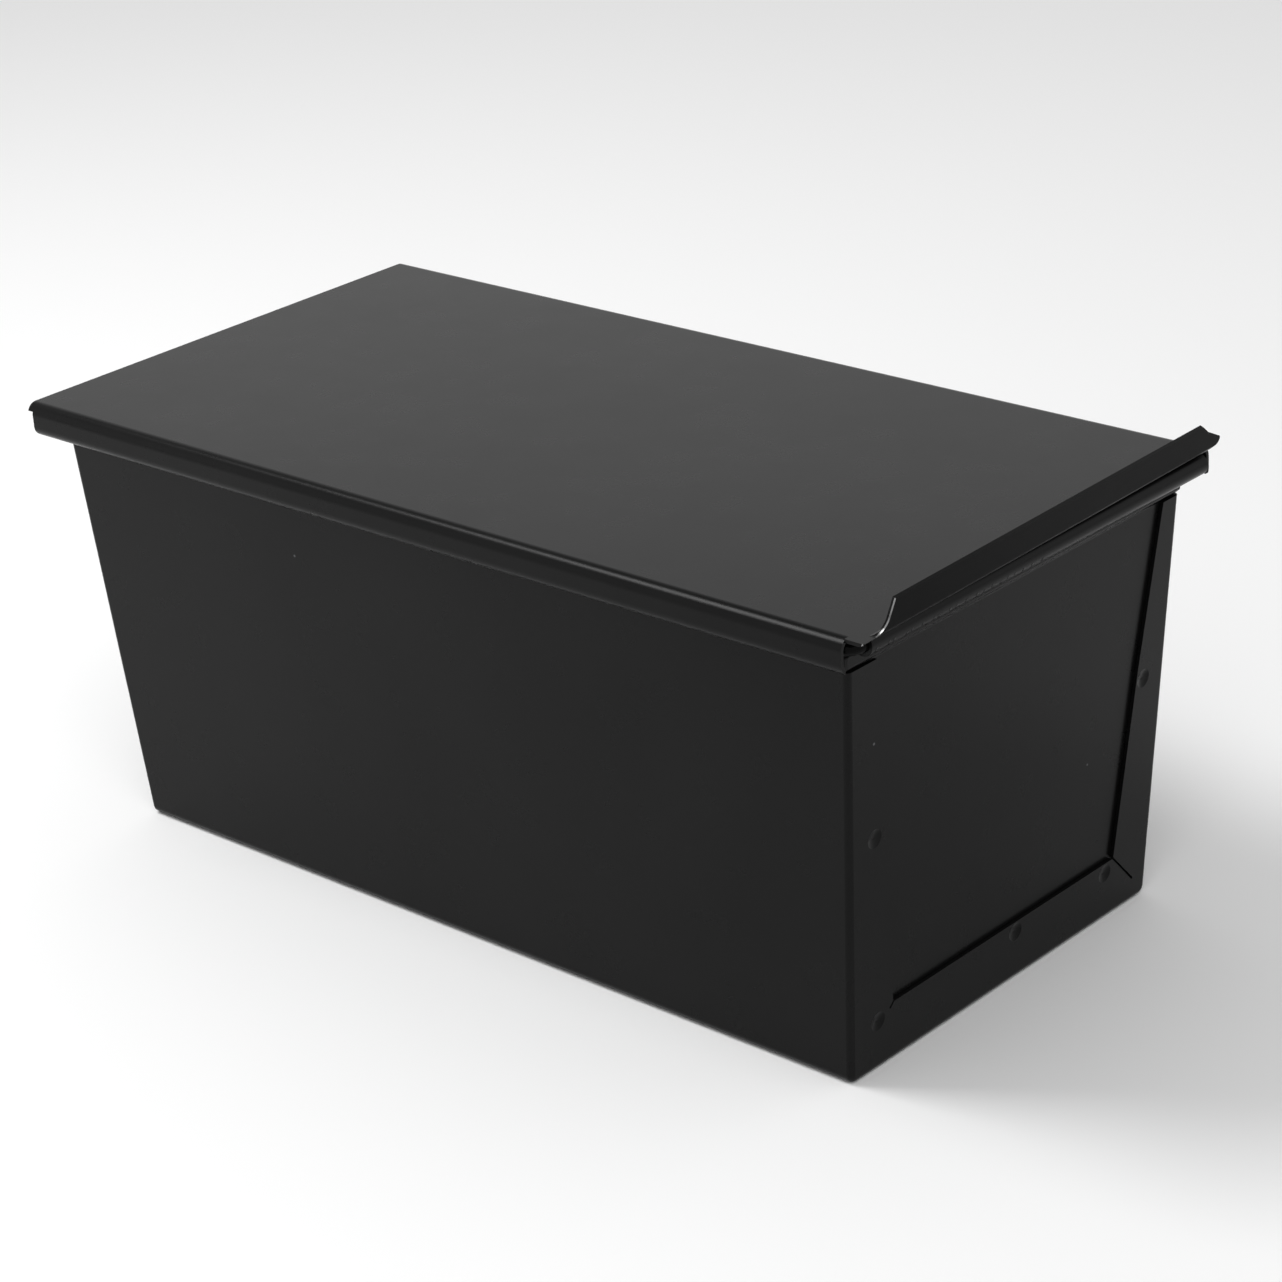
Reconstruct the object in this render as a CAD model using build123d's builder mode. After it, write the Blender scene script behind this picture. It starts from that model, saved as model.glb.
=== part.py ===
from build123d import *
from math import asin, cos, degrees, radians, sin, tan
import os

# Lidded loaf pan of folded sheet, in millimetres.
# The origin is the middle of the floor's underside, +X runs along the pan towards the lid's lip,
# +Y across it and +Z up.

# Driving dimensions of the pan
base_length = 214.0
base_width = 101.6
pan_height = 102.4
end_lean = 4.4
side_lean = 2.3
sheet = 0.8
wire_diameter = 3.2

# Fits
wire_gap = 0.1
seat_gap = 0.15
panel_edge_gap = 0.3
lid_gap = 0.5

# Folded body: bends, end flanges and their seams
floor_bend = 2.0
end_bend = 1.3
flange_top_drop = 3.6
foot_flange_height = 13.8
flange_waist_height_share = 0.61
side_flange_foot_width = 14.6
side_flange_waist_width = 10.0
near_flange_top_width = 8.8
far_flange_top_width = 5.8
mitre_gap = 0.5
near_mitre_open_share = 0.08
far_mitre_open_share = 0.6
roll_mouth_angle = 60.0
roll_end_gap = 0.1

# Clinch dimples that lock the end panels behind the flanges
dimple_radius = 5.2
dimple_depth = 0.45
dimple_inset = 2.4
side_dimple_height_share = 0.58
foot_dimple_place_shares = [-0.83, 0.06, 0.68]

# End panels
ear_rise = 0.15
step_rise = 1.0
step_bend = 0.8
corner_cover_setback = 0.9

# Rim wire
wire_corner_radius = 3.8
wire_joint_gap = 0.4

# Sliding lid
channel_top_bend = 2.6
channel_foot_bend = 2.4
channel_foot_gap = 0.6
hook_gap = 0.6
front_hook_relief = 5.0
front_hook_stub = 1.2
rear_overhang = 1.9
rear_channel_relief = 1.6
rear_margin_depth = 1.7
front_channel_relief = 1.3
near_margin_inset = 1.2
margin_corner_round = 0.8
lip_overhang = 2.0
lip_skew = 1.5
lip_height = 7.5
lip_lean = 20.0
lip_bend = 1.2
near_lip_setback = 7.8
near_lip_fillet = 3.2
far_lip_setback = 9.0
far_lip_step_setback = 5.9
far_lip_step_drop = 2.2
far_lip_bulge = 3.0
far_lip_bulge_height = 0.9
far_lip_foot_setback = 4.0
far_lip_round = 1.3

# Shared geometry, worked out from the sizes above
side_slope = tan(radians(side_lean))
end_slope = tan(radians(end_lean))
side_cos = cos(radians(side_lean))
side_sin = sin(radians(side_lean))
end_cos = cos(radians(end_lean))
end_sin = sin(radians(end_lean))
roll_inside = wire_diameter / 2 + wire_gap
roll_outside = roll_inside + sheet
roll_height = pan_height - roll_outside
rim_underside = roll_height - roll_outside
wall_top = roll_height + roll_outside * side_sin
flange_top = rim_underside - flange_top_drop
flange_waist = flange_top * flange_waist_height_share
panel_depth = sheet + seat_gap
wall_cut_depth = panel_depth + sheet + seat_gap
overrun = base_length


def wall_y(height):
    """Distance of a long wall's outer face from the middle, at a height."""
    return base_width / 2 + height * side_slope


def end_x(height):
    """Distance of an end's outer face from the middle, at a height."""
    return base_length / 2 + height * end_slope


def end_point(height, depth):
    """A point of the lengthwise section, this deep behind the end's outer face."""
    return (end_x(height) - depth / end_cos, height)


def flange_width(height, hand):
    """Width of the side flange on a hand, which narrows to its waist and then to its top."""
    if height < flange_waist:
        share = height / flange_waist
        return side_flange_foot_width + (side_flange_waist_width - side_flange_foot_width) * share
    top_width = near_flange_top_width if hand < 0 else far_flange_top_width
    share = (height - flange_waist) / (flange_top - flange_waist)
    return side_flange_waist_width + (top_width - side_flange_waist_width) * share


def window_point(height, hand):
    """A point on the side flange's inner edge, on the end's outer face."""
    return (hand * (wall_y(height) - flange_width(height, hand)), height / end_cos)


def section_plane(side):
    """Lengthwise section: local X runs outwards to the end on that side, local Y up."""
    return Plane((0, 0, 0), x_dir=(side, 0, 0), z_dir=(0, -side, 0))


def cross_plane(side):
    """Cross section: local X runs across the pan, local Y up, facing the end on that side."""
    return Plane((0, 0, 0), x_dir=(0, side, 0), z_dir=(side, 0, 0))


def end_plane(side):
    """The leaning outer face of an end: local X across the pan, local Y up the slope."""
    foot = (side * base_length / 2, 0, 0)
    return Plane(foot, x_dir=(0, side, 0), z_dir=(side * end_cos, 0, -end_sin))


# The rim wire's centre line, and how far the rolled rims reach
wire_y = wall_y(roll_height) + roll_inside / side_cos
wire_x = end_x(roll_height) + roll_inside / end_cos
rim_half_width = wire_y + roll_outside
rim_half_length = wire_x + roll_outside
roll_end_x = wire_x - wire_corner_radius - roll_end_gap
roll_end_y = wire_y - wire_corner_radius - roll_end_gap
cover_end_y = rim_half_width - corner_cover_setback

# The clinch dimples' places on the end's outer face
dimple_out = dimple_radius - dimple_depth
dimple_places = []
for hand in (-1, 1):
    across, slope_height = window_point(flange_top * side_dimple_height_share, hand)
    dimple_places.append((across + hand * dimple_inset, slope_height, dimple_out))
for share in foot_dimple_place_shares:
    across = wall_y(foot_flange_height) * share
    dimple_places.append((across, foot_flange_height / end_cos - dimple_inset, dimple_out))


def press_dimples(side, face_depth):
    """Press the clinch dimples into a sheet whose face lies this deep behind the flanges' face."""
    hollow = dimple_radius + face_depth
    bulge = hollow + sheet
    latitude = degrees(asin((dimple_out + face_depth + sheet / 2) / bulge))
    with Locations(end_plane(side).location):
        with Locations(*dimple_places):
            Sphere(bulge, arc_size1=-90, arc_size2=-latitude)
            Sphere(hollow, mode=Mode.SUBTRACT)


def rolled_ring(centre, lean):
    """Section of a rolled rim round the wire, open below the sheet that it is rolled from."""
    mouth = [(0, 0)]
    for share in (0, 0.5, 1):
        angle = radians(180 - lean + roll_mouth_angle * share)
        mouth.append((2 * roll_outside * cos(angle), 2 * roll_outside * sin(angle)))
    with Locations(centre):
        Circle(roll_outside)
        Circle(roll_inside, mode=Mode.SUBTRACT)
        Polygon(*mouth, align=None, mode=Mode.SUBTRACT)


# Folded body: floor, long walls, end flanges and rolled long rims
with BuildPart() as folded_body:
    with BuildSketch():
        Rectangle(base_length, base_width)
    with BuildSketch(Plane.XY.offset(wall_top)):
        Rectangle(2 * end_x(wall_top), 2 * wall_y(wall_top))
    loft(ruled=True)
    long_folds = folded_body.edges().filter_by(Axis.X).group_by(Axis.Z)[0]
    fillet(long_folds, floor_bend)
    end_faces = folded_body.faces().filter_by(GeomType.PLANE).sort_by(Axis.X)
    end_edges = end_faces[0].edges() + end_faces[-1].edges()
    top_edges = folded_body.edges().group_by(Axis.Z)[-1]
    fillet([edge for edge in end_edges if edge not in top_edges], end_bend)
    offset(amount=-sheet, openings=folded_body.faces().sort_by(Axis.Z)[-1])
    # The window inside each end's flanges, and the wall ends that the panels' ears cover
    for side in (-1, 1):
        with BuildSketch(end_plane(side)):
            with BuildLine():
                Polyline(
                    window_point(foot_flange_height, 1),
                    window_point(flange_waist, 1),
                    window_point(flange_top, 1),
                    window_point(flange_top, -1),
                    window_point(flange_waist, -1),
                    window_point(foot_flange_height, -1),
                    close=True,
                )
            make_face()
        extrude(amount=2 * sheet, both=True, mode=Mode.SUBTRACT)
        with BuildSketch(section_plane(side)):
            with BuildLine():
                Polyline(
                    end_point(flange_top, wall_cut_depth),
                    end_point(rim_underside, wall_cut_depth),
                    (roll_end_x, rim_underside),
                    (roll_end_x, pan_height),
                    (rim_half_length, pan_height),
                    (rim_half_length, flange_top),
                    close=True,
                )
            make_face()
        extrude(amount=base_width, both=True, mode=Mode.SUBTRACT)
    # Rolled long rims, wrapped round the wire and back towards the wall
    with BuildSketch(Plane.YZ):
        rolled_ring((wire_y, roll_height), side_lean)
        mirror(about=Plane.YZ)
    extrude(amount=roll_end_x, both=True)
    # Mitred corner seams of the flanges, each open for a share of its length, and the dimples
    for side in (-1, 1):
        for hand, share in ((-1, near_mitre_open_share), (1, far_mitre_open_share)):
            inner = Vector(*window_point(foot_flange_height, hand))
            seam = (Vector(hand * base_width / 2, 0) - inner) * share
            turn = Vector(1, 0).get_signed_angle(seam, Vector(0, 0, 1))
            with BuildSketch(end_plane(side)):
                with Locations(Location(inner, turn)):
                    Rectangle(2 * seam.length, mitre_gap)
            extrude(amount=-sheet - seat_gap, mode=Mode.SUBTRACT)
        press_dimples(side, 0)
folded_body.part.label = "folded_body"


# End panels: flat sheet behind the flanges, stepped out above them and rolled over the wire
def make_end_panel(side):
    """The end sheet on one side."""
    inner_reach = (sheet + panel_edge_gap) / side_cos
    panel_foot = sheet + panel_edge_gap
    ear_foot = flange_top + ear_rise
    with BuildPart() as panel:
        with BuildSketch(section_plane(side)):
            rolled_ring((wire_x, roll_height), end_lean)
            with BuildLine():
                path = Polyline(
                    end_point(panel_foot, panel_depth),
                    end_point(ear_foot, panel_depth),
                    end_point(flange_top + step_rise, 0),
                    (wire_x - roll_inside * end_cos, roll_height + roll_inside * end_sin),
                )
                fillet(path.vertices().sort_by(Axis.Y)[1:3], step_bend)
                offset(amount=sheet, side=Side.LEFT)
            make_face()
        extrude(amount=base_width, both=True)
        with BuildSketch(cross_plane(side)) as outline:
            with BuildLine():
                Polyline(
                    (0, panel_foot),
                    (wall_y(panel_foot) - inner_reach, panel_foot),
                    (wall_y(ear_foot) - inner_reach, ear_foot),
                    (wall_y(ear_foot), ear_foot),
                    (wall_y(rim_underside), rim_underside),
                    (roll_end_y, rim_underside),
                    (roll_end_y, pan_height),
                    (0, pan_height),
                    close=True,
                )
            make_face()
            mirror(about=Plane.YZ)
            fillet(outline.vertices().group_by(Axis.Y)[0], floor_bend)
        extrude(amount=overrun, mode=Mode.INTERSECT)
        press_dimples(side, panel_depth)
        # The roll's outer half runs on over the wire's bend and covers one corner
        with BuildSketch(section_plane(side).offset(-roll_end_y)):
            inner_half = (Align.MAX, Align.CENTER)
            with Locations((wire_x, roll_height)):
                Circle(roll_outside)
                Circle(roll_inside, mode=Mode.SUBTRACT)
                Rectangle(roll_outside, 2 * roll_outside, align=inner_half, mode=Mode.SUBTRACT)
        extrude(amount=roll_end_y - cover_end_y)
    return panel.part


lip_end_panel = make_end_panel(1)
lip_end_panel.label = "lip_end_panel"
plain_end_panel = make_end_panel(-1)
plain_end_panel.label = "plain_end_panel"

# Rim wire: one length of round wire bent to a ring inside the four rolls, its ends butted
with BuildPart() as rim_wire:
    with BuildLine(Plane.XY.offset(roll_height)) as ring:
        FilletPolyline(
            (-wire_joint_gap / 2, wire_y),
            (-wire_x, wire_y),
            (-wire_x, -wire_y),
            (wire_x, -wire_y),
            (wire_x, wire_y),
            (wire_joint_gap / 2, wire_y),
            radius=wire_corner_radius,
        )
    with BuildSketch(Plane(ring.line @ 0, z_dir=ring.line % 0)):
        Circle(wire_diameter / 2)
    sweep()
rim_wire.part.label = "rim_wire"

# Sliding lid: plate, hooked side channels and turned-up lip
lid_under = pan_height + lid_gap
lid_top = lid_under + sheet
channel_half_width = rim_half_width + lid_gap + sheet
channel_foot = rim_underside - channel_foot_gap - sheet
hook_y = wall_y(rim_underside) + hook_gap
lid_rear_x = -rim_half_length - rear_overhang
channel_rear_x = lid_rear_x + rear_channel_relief
channel_front_x = rim_half_length - front_channel_relief
near_margin_y = near_margin_inset - channel_half_width
lip_root_x = rim_half_length + lip_overhang
near_root_x = lip_root_x + lip_skew
lip_slope = tan(radians(lip_lean))
lip_top = lid_top + lip_height
lip_reach = lip_height * lip_slope
near_lip_y = near_lip_setback - channel_half_width
far_lip_y = channel_half_width - far_lip_setback
far_lip_step_y = channel_half_width - far_lip_step_setback
far_lip_bulge_y = channel_half_width + far_lip_bulge
far_lip_foot_y = channel_half_width - far_lip_foot_setback

with BuildPart() as sliding_lid:
    # Front margin turned up as the lip, along a bend line that runs a little askew
    lip_plane = Plane(
        (lip_root_x, 0, 0),
        x_dir=(channel_half_width, lip_skew, 0),
        z_dir=(lip_skew, -channel_half_width, 0),
    )
    with BuildSketch(lip_plane):
        with BuildLine():
            lip_path = Polyline(
                (channel_front_x - lip_root_x - 2 * lip_skew, lid_under),
                (-sheet * lip_slope, lid_under),
                (lip_reach, lip_top),
            )
            fillet(lip_path.vertices()[1], lip_bend + sheet)
            offset(amount=sheet, side=Side.LEFT)
        make_face()
    extrude(amount=base_width, both=True)
    # Seen from above, the margin starts at the channels' ends and its near corner is rounded
    with BuildSketch(Plane.XY.offset(lid_under)) as margin:
        with BuildLine():
            Polyline(
                (channel_front_x, near_margin_y),
                (near_root_x, near_margin_y),
                (near_root_x, near_margin_y + margin_corner_round),
                (near_root_x + overrun, near_margin_y + margin_corner_round),
                (near_root_x + overrun, overrun),
                (channel_front_x, overrun),
                close=True,
            )
        make_face()
        near_corners = margin.vertices().group_by(Axis.Y)[0]
        fillet(near_corners.sort_by(Axis.X)[-1], margin_corner_round / 2)
    extrude(amount=lip_height + 2 * sheet, mode=Mode.INTERSECT)
    # The lip's corners are cut away, the near one to a hollow curve and the far one to a shoulder
    with BuildSketch(Plane.YZ.offset(channel_front_x)) as near_cut:
        with BuildLine():
            Polyline(
                (near_lip_y, lid_top),
                (-channel_half_width, lid_top),
                (-channel_half_width, lip_top + sheet),
                (near_lip_y, lip_top + sheet),
                close=True,
            )
        make_face()
        inner_corner = near_cut.vertices().sort_by(Axis.X)[-2:].sort_by(Axis.Y)[0]
        fillet(inner_corner, near_lip_fillet)
    with BuildSketch(Plane.YZ.offset(channel_front_x)):
        with BuildLine():
            FilletPolyline(
                (far_lip_y, lip_top),
                (far_lip_step_y, lip_top - far_lip_step_drop),
                (far_lip_bulge_y, lid_top + far_lip_bulge_height),
                (far_lip_foot_y, lid_under),
                radius=far_lip_round,
            )
            Polyline(
                (far_lip_foot_y, lid_under),
                (overrun, lid_under),
                (overrun, lip_top + sheet),
                (far_lip_y, lip_top + sheet),
                (far_lip_y, lip_top),
            )
        make_face()
    extrude(amount=base_width, mode=Mode.SUBTRACT)
    # Plate and channels
    with BuildSketch(Plane.YZ.offset(lid_rear_x)):
        with BuildLine():
            edge_path = Polyline(
                (0, lid_top),
                (channel_half_width, lid_top),
                (channel_half_width, channel_foot),
                (hook_y, channel_foot),
            )
            fillet(edge_path.vertices()[1], channel_top_bend)
            fillet(edge_path.vertices()[2], channel_foot_bend)
            offset(amount=sheet, side=Side.RIGHT)
        make_face()
        mirror(about=Plane.YZ)
    extrude(amount=channel_front_x - lid_rear_x)
    # The channels stop short of the plate's rear edge, which keeps only their top bend
    with BuildSketch(Plane.XY.offset(lid_top - rear_margin_depth)):
        with Locations((channel_rear_x, 0)):
            Rectangle(overrun, overrun, align=(Align.MAX, Align.CENTER))
    extrude(amount=-overrun, mode=Mode.SUBTRACT)
    # The hooks are cut back at the front; a stub of the near channel's wall is left
    with BuildSketch(Plane.XY.offset(rim_underside)):
        with Locations((channel_front_x - front_hook_relief, front_hook_stub - channel_half_width)):
            Rectangle(overrun, overrun, align=Align.MIN)
    extrude(amount=-overrun, mode=Mode.SUBTRACT)
sliding_lid.part.label = "sliding_lid"

os.makedirs("parts", exist_ok=True)
for piece in (folded_body.part, lip_end_panel, plain_end_panel, rim_wire.part, sliding_lid.part):
    export_step(piece, f"parts/{piece.label}.step")
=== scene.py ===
from math import cos, radians, sin

import bpy
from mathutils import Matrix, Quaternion, Vector

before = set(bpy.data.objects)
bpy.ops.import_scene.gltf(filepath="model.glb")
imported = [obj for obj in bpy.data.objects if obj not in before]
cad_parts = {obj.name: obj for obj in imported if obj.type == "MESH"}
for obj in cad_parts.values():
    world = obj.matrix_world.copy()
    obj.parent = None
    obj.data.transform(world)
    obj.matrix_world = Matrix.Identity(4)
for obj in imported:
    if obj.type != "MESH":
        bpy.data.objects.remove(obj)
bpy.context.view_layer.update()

# Folded body: one blank of steel sheet folded to the floor, the long walls, the flanges round each
# end and the rolled long rims, sprayed and baked with a satin black non-stick coating.
MM = 0.001
COATING_DARK = "#090909"
COATING_LIGHT = "#0d0d0d"
# Typical non-stick coatings have an IOR of about 1.35, and this one is lower to match the dark walls
COATING_IOR = 1.205
COATING_SHEEN = 0.28
SHEEN_SPREAD = 0.01
PATCH_SIZE = 40 * MM
PATCH_LOW = 0.35
PATCH_HIGH = 0.65
CLOUD_SIZE = 9 * MM
WAVE_SIZE = 70 * MM
WAVE_HEIGHT = 0.1 * MM
WAVE_STRENGTH = 0.15
GRAIN_SIZE = 0.45 * MM
GRAIN_HEIGHT = 0.02 * MM
GRAIN_STRENGTH = 0.35
GRAIN_CRISPNESS = 0.6
DUST_COLOUR = "#565658"
DUST_SPACING = 26 * MM
DUST_CORE = 0.208 * MM
DUST_EDGE = 0.364 * MM
# Nearly all of a noise pattern lies between these two values
NOISE_LOW = 0.3
NOISE_HIGH = 0.7


def linear(hex_colour):
    """An sRGB hex colour as the linear values that a socket takes."""
    values = []
    for start in (1, 3, 5):
        value = int(hex_colour[start : start + 2], 16) / 255
        values.append(value / 12.92 if value <= 0.04045 else ((value + 0.055) / 1.055) ** 2.4)
    return (*values, 1.0)


def input_of(node, name):
    """An input by its name, with underscores for spaces, or by its number, such as i6."""
    return node.inputs[int(name[1:]) if name[1:].isdigit() else name.replace("_", " ")]


def add_node(tree, kind, settings=None, **links):
    """Adds a node. Settings name its attributes or inputs. Links join its inputs to the outputs of
    other nodes, and a node given as a whole stands for its first output."""
    node = tree.nodes.new(kind)
    for name, value in (settings or {}).items():
        if hasattr(node, name):
            setattr(node, name, value)
        else:
            input_of(node, name).default_value = value
    for name, source in links.items():
        output = source.outputs[0] if hasattr(source, "outputs") else source
        tree.links.new(output, input_of(node, name))
    return node


def new_material(name):
    """An empty node material, its tree and its output node."""
    material = bpy.data.materials.new(name)
    material.use_nodes = True
    tree = material.node_tree
    tree.nodes.clear()
    return material, tree, tree.nodes.new("ShaderNodeOutputMaterial")


def feed_of(shader, name):
    """The output that feeds one of the shader's inputs."""
    return shader.inputs[name].links[0].from_socket


def tint_where(tree, shader, mask, hex_colour):
    """Turns the shader's colour to another one where a mask is on."""
    settings = {"data_type": "RGBA", "i7": linear(hex_colour)}
    tint = add_node(tree, "ShaderNodeMix", settings, i0=mask, i6=feed_of(shader, "Base Color"))
    tree.links.new(tint.outputs[2], shader.inputs["Base Color"])


def satin_coating(name):
    """Baked non-stick coating, sprayed on: near black, with a soft sheen that lifts to grey where the
    sheet is seen at a low angle."""
    material, tree, output = new_material(name)
    spot = add_node(tree, "ShaderNodeTexCoord").outputs["Object"]

    # Pigment: barely uneven from patch to patch
    scale = {"Scale": 1 / PATCH_SIZE, "Detail": 4.0}
    patches = add_node(tree, "ShaderNodeTexNoise", scale, Vector=spot)
    levels = {"From Min": PATCH_LOW, "From Max": PATCH_HIGH}
    depth = add_node(tree, "ShaderNodeMapRange", levels, Value=patches)
    colours = {"data_type": "RGBA", "i6": linear(COATING_DARK), "i7": linear(COATING_LIGHT)}
    pigment = add_node(tree, "ShaderNodeMix", colours, i0=depth)

    # Sheen: a little duller and brighter in soft clouds
    scale = {"Scale": 1 / CLOUD_SIZE, "Detail": 3.0}
    clouds = add_node(tree, "ShaderNodeTexNoise", scale, Vector=spot)
    levels = {
        "From Min": NOISE_LOW,
        "From Max": NOISE_HIGH,
        "To Min": COATING_SHEEN - SHEEN_SPREAD,
        "To Max": COATING_SHEEN + SHEEN_SPREAD,
    }
    sheen = add_node(tree, "ShaderNodeMapRange", levels, Value=clouds)

    # Relief: the sheet's slow waves, under the sprayed grain. The real grain is too fine to show, so
    # it is drawn as coarse as it needs.
    scale = {"Scale": 1 / WAVE_SIZE, "Detail": 1.0}
    waves = add_node(tree, "ShaderNodeTexNoise", scale, Vector=spot)
    bump = {"Strength": WAVE_STRENGTH, "Distance": WAVE_HEIGHT}
    wavy = add_node(tree, "ShaderNodeBump", bump, Height=waves)
    scale = {"Scale": 1 / GRAIN_SIZE, "Detail": 3.0, "Roughness": GRAIN_CRISPNESS}
    grain = add_node(tree, "ShaderNodeTexNoise", scale, Vector=spot)
    bump = {"Strength": GRAIN_STRENGTH, "Distance": GRAIN_HEIGHT}
    grainy = add_node(tree, "ShaderNodeBump", bump, Height=grain, Normal=wavy)

    shader = add_node(
        tree,
        "ShaderNodeBsdfPrincipled",
        {"IOR": COATING_IOR},
        Base_Color=pigment.outputs[2],
        Roughness=sheen,
        Normal=grainy,
    )

    # Dust: a few pale grains that settled in the wet coat
    scale = {"Scale": 1 / DUST_SPACING, "Randomness": 1.0}
    grains = add_node(tree, "ShaderNodeTexVoronoi", scale, Vector=spot)
    levels = {
        "From Min": DUST_CORE / DUST_SPACING,
        "From Max": DUST_EDGE / DUST_SPACING,
        "To Min": 1.0,
        "To Max": 0.0,
    }
    dust = add_node(tree, "ShaderNodeMapRange", levels, Value=grains)
    tint_where(tree, shader, dust, DUST_COLOUR)

    tree.links.new(shader.outputs["BSDF"], output.inputs["Surface"])
    return material, tree, shader


def finish_node(name, material):
    """Puts a material on a piece of the frame."""
    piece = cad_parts[name]
    piece.data.materials.clear()
    piece.data.materials.append(material)


# Satin coating: the sprayed coat with nothing added to it
body_coating = satin_coating("satin_nonstick_coating")[0]
finish_node("folded_body", body_coating)

# End panel at the lip's end: a plate of the same coated sheet, clinched behind the flanges and rolled
# over the rim wire. The tool that closed its roll left a row of small dents and beads of coating along
# the near half of the band, and the beads carry a painted highlight in their colour.
MARK_SPACING = 2.7 * MM
MARK_UNEVENNESS = 0.6
MARK_SIZE = 0.45 * MM
MARK_CORE = 0.09 * MM
MARK_RISE = 0.25 * MM
MARK_HEIGHT = 98.9 * MM
MARK_WANDER = 0.3 * MM
MARK_PATCH = 3 * MM
MARK_END = 2.0 * MM
ROLL_MIDDLE = 116.4 * MM
BEAD_HIGHLIGHT_COLOUR = "#4a4a4a"
BEAD_HIGHLIGHT_SHARE = 0.5


def where_all(tree, *masks):
    """One mask that is on where all of these are."""
    joined = masks[0]
    for mask in masks[1:]:
        joined = add_node(tree, "ShaderNodeMath", {"operation": "MULTIPLY"}, i0=joined, i1=mask)
    return joined


# Coating with roll marks: the satin coat, with small raised beads along the band that carry a painted
# highlight
panel_coating, tree, shader = satin_coating("coating_with_roll_marks")
spot = add_node(tree, "ShaderNodeTexCoord").outputs["Object"]
axes = add_node(tree, "ShaderNodeSeparateXYZ", None, Vector=spot)

# How far a point lies from the nearest mark: along the band, and up or down from the wandering row
settings = {"voronoi_dimensions": "1D", "Scale": 1 / MARK_SPACING, "Randomness": MARK_UNEVENNESS}
marks = add_node(tree, "ShaderNodeTexVoronoi", settings, W=axes.outputs["Y"])
settings = {"operation": "MULTIPLY", "i1": MARK_SPACING}
along = add_node(tree, "ShaderNodeMath", settings, i0=marks)
wander = add_node(tree, "ShaderNodeTexNoise", {"Scale": 1 / MARK_PATCH, "Detail": 2.0}, Vector=spot)
levels = {
    "From Min": NOISE_LOW,
    "From Max": NOISE_HIGH,
    "To Min": MARK_HEIGHT - MARK_WANDER,
    "To Max": MARK_HEIGHT + MARK_WANDER,
}
row = add_node(tree, "ShaderNodeMapRange", levels, Value=wander)
across = add_node(tree, "ShaderNodeMath", {"operation": "SUBTRACT"}, i0=axes.outputs["Z"], i1=row)
offset = add_node(tree, "ShaderNodeCombineXYZ", None, X=along, Y=across)
away = add_node(tree, "ShaderNodeVectorMath", {"operation": "LENGTH"}, i0=offset).outputs["Value"]

# Round beads, on the roll's outer half and up to the end of the row
levels = {"From Min": MARK_CORE, "From Max": MARK_SIZE, "To Min": 1.0, "To Max": 0.0}
round_bead = add_node(tree, "ShaderNodeMapRange", levels, Value=away)
settings = {"operation": "GREATER_THAN", "i1": ROLL_MIDDLE}
outer_half = add_node(tree, "ShaderNodeMath", settings, i0=axes.outputs["X"])
settings = {"operation": "LESS_THAN", "i1": MARK_END}
in_row = add_node(tree, "ShaderNodeMath", settings, i0=axes.outputs["Y"])
bead = where_all(tree, round_bead, outer_half, in_row)

bump = {"Strength": 1.0, "Distance": MARK_RISE}
raised = add_node(tree, "ShaderNodeBump", bump, Height=bead, Normal=feed_of(shader, "Normal"))
tree.links.new(raised.outputs["Normal"], shader.inputs["Normal"])
# Painted highlight: the beads' colour is lifted halfway towards grey
bead_highlight = add_node(tree, "ShaderNodeMath", {"operation": "MULTIPLY", "i1": BEAD_HIGHLIGHT_SHARE}, i0=bead)
tint_where(tree, shader, bead_highlight.outputs[0], BEAD_HIGHLIGHT_COLOUR)
finish_node("lip_end_panel", panel_coating)

# End panel at the plain end: the same coated plate turned round, clinched and rolled in the same way.
# It faces away from the camera, and carries the coating with nothing added to it.
finish_node("plain_end_panel", body_coating)

# Rim wire: one length of drawn steel wire, bent to a ring inside the four rolled rims with its ends
# butted. It shows only at the corners, where its colour is painted near black, darker than the coating
# round it, as shade from the lid above.
WIRE_SHADE_COLOUR = "#060606"
# Set low as well, so that the wire stays almost black in the lid's shade
WIRE_IOR = 1.14
WIRE_GLOSSIEST = 0.16
WIRE_DULLEST = 0.26
WIRE_MARK_SIZE = 1.2 * MM

# Shaded wire: a near-black colour that is painted shade from the lid, and a small highlight on each
# bend
wire_steel, tree, output = new_material("wire_with_painted_shade")
spot = add_node(tree, "ShaderNodeTexCoord").outputs["Object"]
scale = {"Scale": 1 / WIRE_MARK_SIZE, "Detail": 3.0}
scale_marks = add_node(tree, "ShaderNodeTexNoise", scale, Vector=spot)
levels = {
    "From Min": NOISE_LOW,
    "From Max": NOISE_HIGH,
    "To Min": WIRE_GLOSSIEST,
    "To Max": WIRE_DULLEST,
}
sheen = add_node(tree, "ShaderNodeMapRange", levels, Value=scale_marks)
settings = {"Base Color": linear(WIRE_SHADE_COLOUR), "IOR": WIRE_IOR}
shader = add_node(tree, "ShaderNodeBsdfPrincipled", settings, Roughness=sheen)
tree.links.new(shader.outputs["BSDF"], output.inputs["Surface"])
finish_node("rim_wire", wire_steel)

# Sliding lid: one plate of the same coated sheet, folded to a channel along each side that hooks under
# the rim, and turned up to a lip at the front. The lip's outer face, which looks outwards and down, is
# painted darker as shade and given a duller sheen, and bare steel shows along the cut edge of its near
# corner.
LIP_SHADE_COLOUR = "#070707"
LIP_FACE_SHEEN = 0.5
LIP_FACE_GLOSS = 0.15
COATING_GLOSS = 0.5
OUTWARDS_FROM = 0.8
OUTWARDS_TO = 0.92
DOWNWARDS_FROM = -0.2
DOWNWARDS_TO = -0.3
STEEL_COLOUR = "#8c8c8c"
STEEL_SHEEN = 0.35
LIP_LEAN = radians(20)
LIP_FACE = 79.37 * MM
BARE_DEPTH = 0.35 * MM
CUT_FACES_NEAR = -0.12
CUT_FACES_ALONG = 0.3
NEAR_HOLLOW = -50.0 * MM
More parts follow.
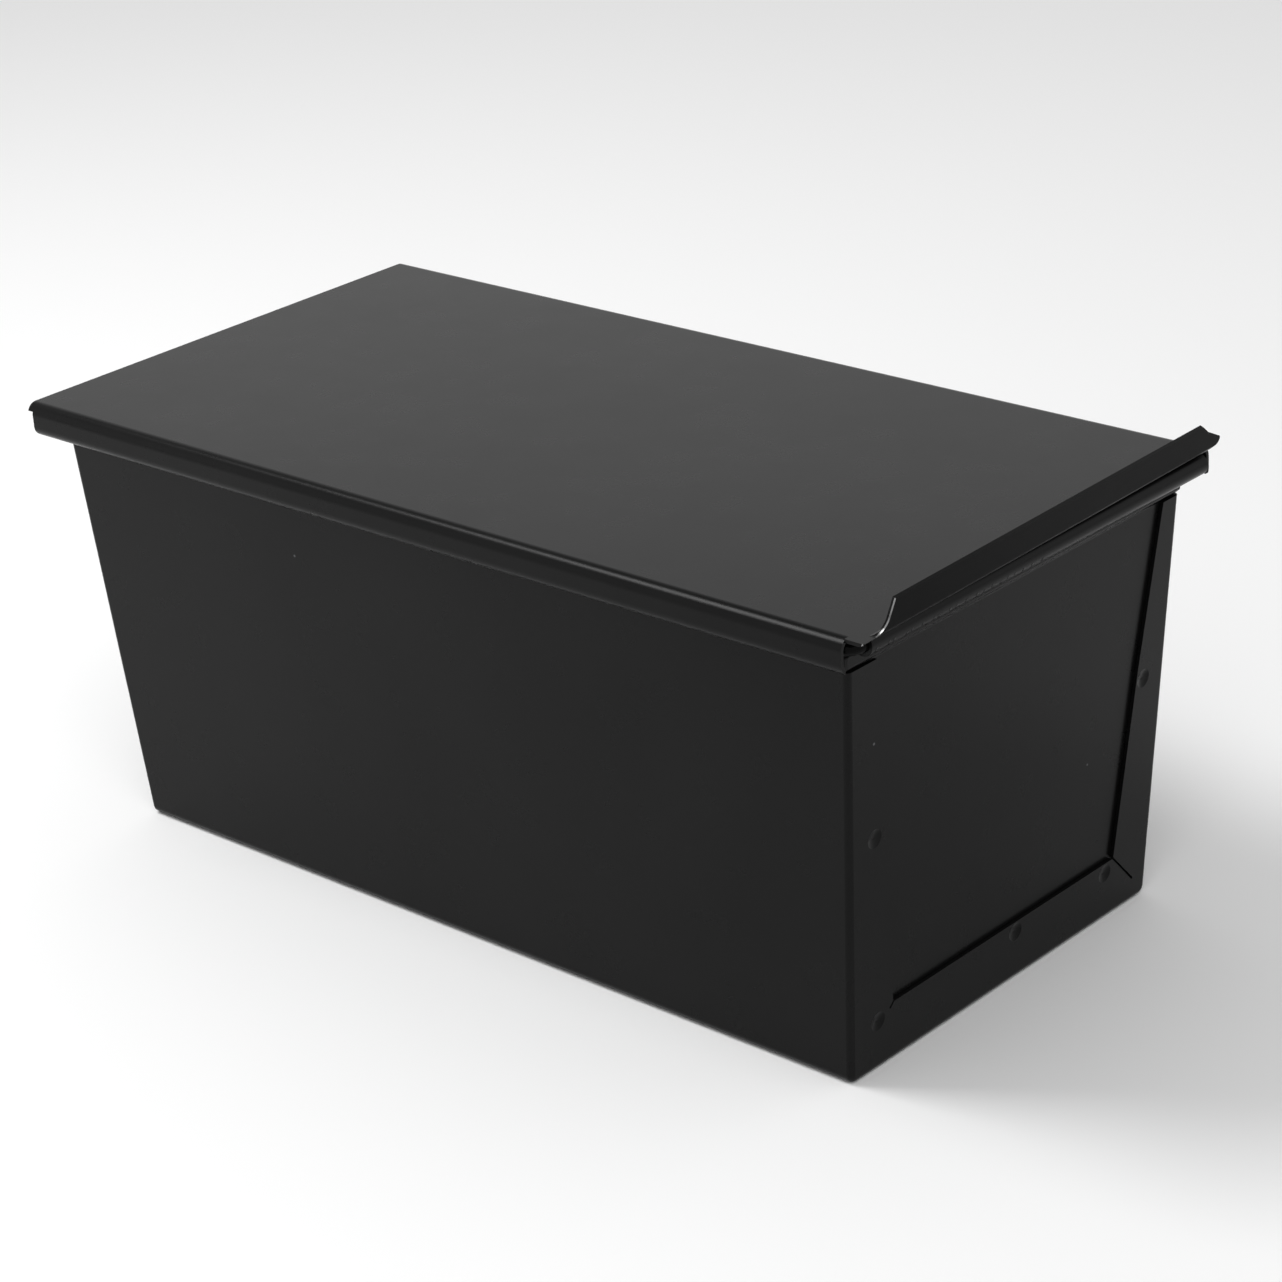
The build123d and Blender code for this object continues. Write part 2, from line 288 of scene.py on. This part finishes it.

# Lid coating: the satin coat, with painted shade and a duller sheen on the lip's outer face, and a thin
# bright line round the near hollow
lid_coating, tree, shader = satin_coating("lid_coating_and_cut_edge")
surface = shader.outputs["BSDF"].links[0].to_socket
place = add_node(tree, "ShaderNodeTexCoord")
facing = add_node(tree, "ShaderNodeSeparateXYZ", None, Vector=place.outputs["Normal"])
axes = add_node(tree, "ShaderNodeSeparateXYZ", None, Vector=place.outputs["Object"])

# The lip's outer face looks outwards and a little down
levels = {"From Min": OUTWARDS_FROM, "From Max": OUTWARDS_TO}
outwards = add_node(tree, "ShaderNodeMapRange", levels, Value=facing.outputs["X"])
levels = {"From Min": DOWNWARDS_FROM, "From Max": DOWNWARDS_TO}
downwards = add_node(tree, "ShaderNodeMapRange", levels, Value=facing.outputs["Z"])
shaded_lip_face = where_all(tree, outwards, downwards)
# Painted shade: the outer face, which looks outwards and down, is coloured darker
tint_where(tree, shader, shaded_lip_face.outputs[0], LIP_SHADE_COLOUR)
feed = feed_of(shader, "Roughness")
dulled = add_node(tree, "ShaderNodeMix", {"i3": LIP_FACE_SHEEN}, i0=shaded_lip_face, i2=feed)
tree.links.new(dulled.outputs[0], shader.inputs["Roughness"])
levels = {"To Min": COATING_GLOSS, "To Max": LIP_FACE_GLOSS}
gloss = add_node(tree, "ShaderNodeMapRange", levels, Value=shaded_lip_face)
tree.links.new(gloss.outputs["Result"], shader.inputs["Specular IOR Level"])

# The cut edge is a face square to the sheet in the lip's near hollow, bare along its outer side
settings = {"operation": "LESS_THAN", "i1": CUT_FACES_NEAR}
faces_near = add_node(tree, "ShaderNodeMath", settings, i0=facing.outputs["Y"])
settings = {"operation": "COMPARE", "i1": 0.0, "i2": CUT_FACES_ALONG}
faces_along = add_node(tree, "ShaderNodeMath", settings, i0=facing.outputs["X"])
settings = {"operation": "DOT_PRODUCT", "i1": (cos(LIP_LEAN), 0.0, -sin(LIP_LEAN))}
lip_depth = add_node(tree, "ShaderNodeVectorMath", settings, i0=place.outputs["Object"])
settings = {"operation": "GREATER_THAN", "i1": LIP_FACE - BARE_DEPTH}
outer_side = add_node(tree, "ShaderNodeMath", settings, i0=lip_depth.outputs["Value"])
settings = {"operation": "LESS_THAN", "i1": NEAR_HOLLOW}
in_hollow = add_node(tree, "ShaderNodeMath", settings, i0=axes.outputs["Y"])
bare = where_all(tree, faces_near, faces_along, outer_side, in_hollow)

# Cut sheet steel: a soft metallic grey
settings = {"Base Color": linear(STEEL_COLOUR), "Metallic": 1.0, "Roughness": STEEL_SHEEN}
steel = add_node(tree, "ShaderNodeBsdfPrincipled", settings)
edge = add_node(tree, "ShaderNodeMixShader", None, i0=bare, i1=shader, i2=steel)
tree.links.new(edge.outputs["Shader"], surface)
finish_node("sliding_lid", lid_coating)

# Studio floor: a wide sheet of pale matt paper just under the pan, which takes its soft shadow. It is
# plain, so nothing else shows on it.
FLOOR_COLOUR = "#f4f4f4"
FLOOR_DULLNESS = 0.9
FLOOR_SIZE = 8.0
FLOOR_DROP = 0.1 * MM
half = FLOOR_SIZE / 2
corners = [(-half, -half), (half, -half), (half, half), (-half, half)]
floor_mesh = bpy.data.meshes.new("floor")
floor_mesh.from_pydata([(x, y, -FLOOR_DROP) for x, y in corners], [], [(0, 1, 2, 3)])
floor = bpy.data.objects.new("floor", floor_mesh)
bpy.context.scene.collection.objects.link(floor)

# Studio paper: pale and matt, with no sheen
paper, tree, output = new_material("white_studio_paper")
settings = {
    "Base Color": linear(FLOOR_COLOUR),
    "Roughness": FLOOR_DULLNESS,
    "Specular IOR Level": 0.0,
}
shader = add_node(tree, "ShaderNodeBsdfPrincipled", settings)
tree.links.new(shader.outputs["BSDF"], output.inputs["Surface"])
floor_mesh.materials.append(paper)

# Surroundings: white behind the floor. The coating mirrors them as white up to a low height and as
# darker above it, which gives the lid an even grey and its near bend a dark line.
WHITE = "#ffffff"
SURROUND_LIGHT = 0.6
HIGH_SHARE = 0.25
WHITE_UP_TO = radians(28)
DARK_FROM = radians(40)
world = bpy.data.worlds.new("studio")
bpy.context.scene.world = world
world.use_nodes = True
tree = world.node_tree
tree.nodes.clear()
output = tree.nodes.new("ShaderNodeOutputWorld")
place = add_node(tree, "ShaderNodeTexCoord")
direction = add_node(tree, "ShaderNodeSeparateXYZ", None, Vector=place.outputs["Generated"])
levels = {
    "From Min": sin(WHITE_UP_TO),
    "From Max": sin(DARK_FROM),
    "To Min": 1.0,
    "To Max": HIGH_SHARE,
}
heights = add_node(tree, "ShaderNodeMapRange", levels, Value=direction.outputs["Z"])
settings = {"Color": linear(WHITE), "Strength": SURROUND_LIGHT}
surround = add_node(tree, "ShaderNodeBackground", settings)
mirrored = add_node(tree, "ShaderNodeBackground", {"Color": linear(WHITE)}, Strength=heights)
backdrop = add_node(tree, "ShaderNodeBackground", {"Color": linear(WHITE), "Strength": 1.0})
ray = add_node(tree, "ShaderNodeLightPath")
glossy = ray.outputs["Is Glossy Ray"]
soft = add_node(tree, "ShaderNodeMixShader", None, i0=glossy, i1=surround, i2=mirrored)
seen = ray.outputs["Is Camera Ray"]
sky = add_node(tree, "ShaderNodeMixShader", None, i0=seen, i1=soft, i2=backdrop)
tree.links.new(sky.outputs["Shader"], output.inputs["Surface"])

# Soft boxes: a small one on the left gives the highlight along the lid's near bend, and a large one
# beside the camera lifts the walls that face it.
PAN_TOP = (0.0, 0.0, 0.1)
LEFT_BOX_PLACE = (-0.45, -0.27, 0.87)
LEFT_BOX_WIDTH = 0.4
LEFT_BOX_HEIGHT = 0.32
LEFT_BOX_POWER = 5.0
CAMERA_BOX_PLACE = (0.75, -0.8, 1.2)
CAMERA_BOX_WIDTH = 1.0
CAMERA_BOX_POWER = 6.0


def soft_box(name, place, width, height, power):
    """A soft box that faces the pan's top."""
    lamp = bpy.data.lights.new(name, "AREA")
    lamp.shape = "RECTANGLE"
    lamp.size = width
    lamp.size_y = height
    lamp.energy = power
    light = bpy.data.objects.new(name, lamp)
    light.location = place
    light.rotation_mode = "QUATERNION"
    light.rotation_quaternion = (Vector(PAN_TOP) - Vector(place)).to_track_quat("-Z", "Y")
    bpy.context.scene.collection.objects.link(light)


soft_box("left_box", LEFT_BOX_PLACE, LEFT_BOX_WIDTH, LEFT_BOX_HEIGHT, LEFT_BOX_POWER)
soft_box("camera_side_box", CAMERA_BOX_PLACE, CAMERA_BOX_WIDTH, CAMERA_BOX_WIDTH, CAMERA_BOX_POWER)

# Camera: a long lens from above the near corner, turned a little about its own axis
CAMERA_PLACE = (0.5087, -0.5208, 0.3714)
CAMERA_AZIMUTH = 43.823
CAMERA_ELEVATION = 23.706
CAMERA_ROLL = -4.097
CAMERA_LENS = 100.27
CAMERA_SENSOR = 36.0
lens = bpy.data.cameras.new("camera")
lens.sensor_width = CAMERA_SENSOR
lens.lens = CAMERA_LENS
camera = bpy.data.objects.new("camera", lens)
camera.location = CAMERA_PLACE
camera.rotation_mode = "QUATERNION"
turn = Quaternion((0, 0, 1), radians(CAMERA_AZIMUTH))
tilt = Quaternion((1, 0, 0), radians(90 - CAMERA_ELEVATION))
roll = Quaternion((0, 0, 1), radians(CAMERA_ROLL))
camera.rotation_quaternion = turn @ tilt @ roll
bpy.context.scene.collection.objects.link(camera)
bpy.context.scene.camera = camera

bpy.context.scene.view_settings.view_transform = "Standard"
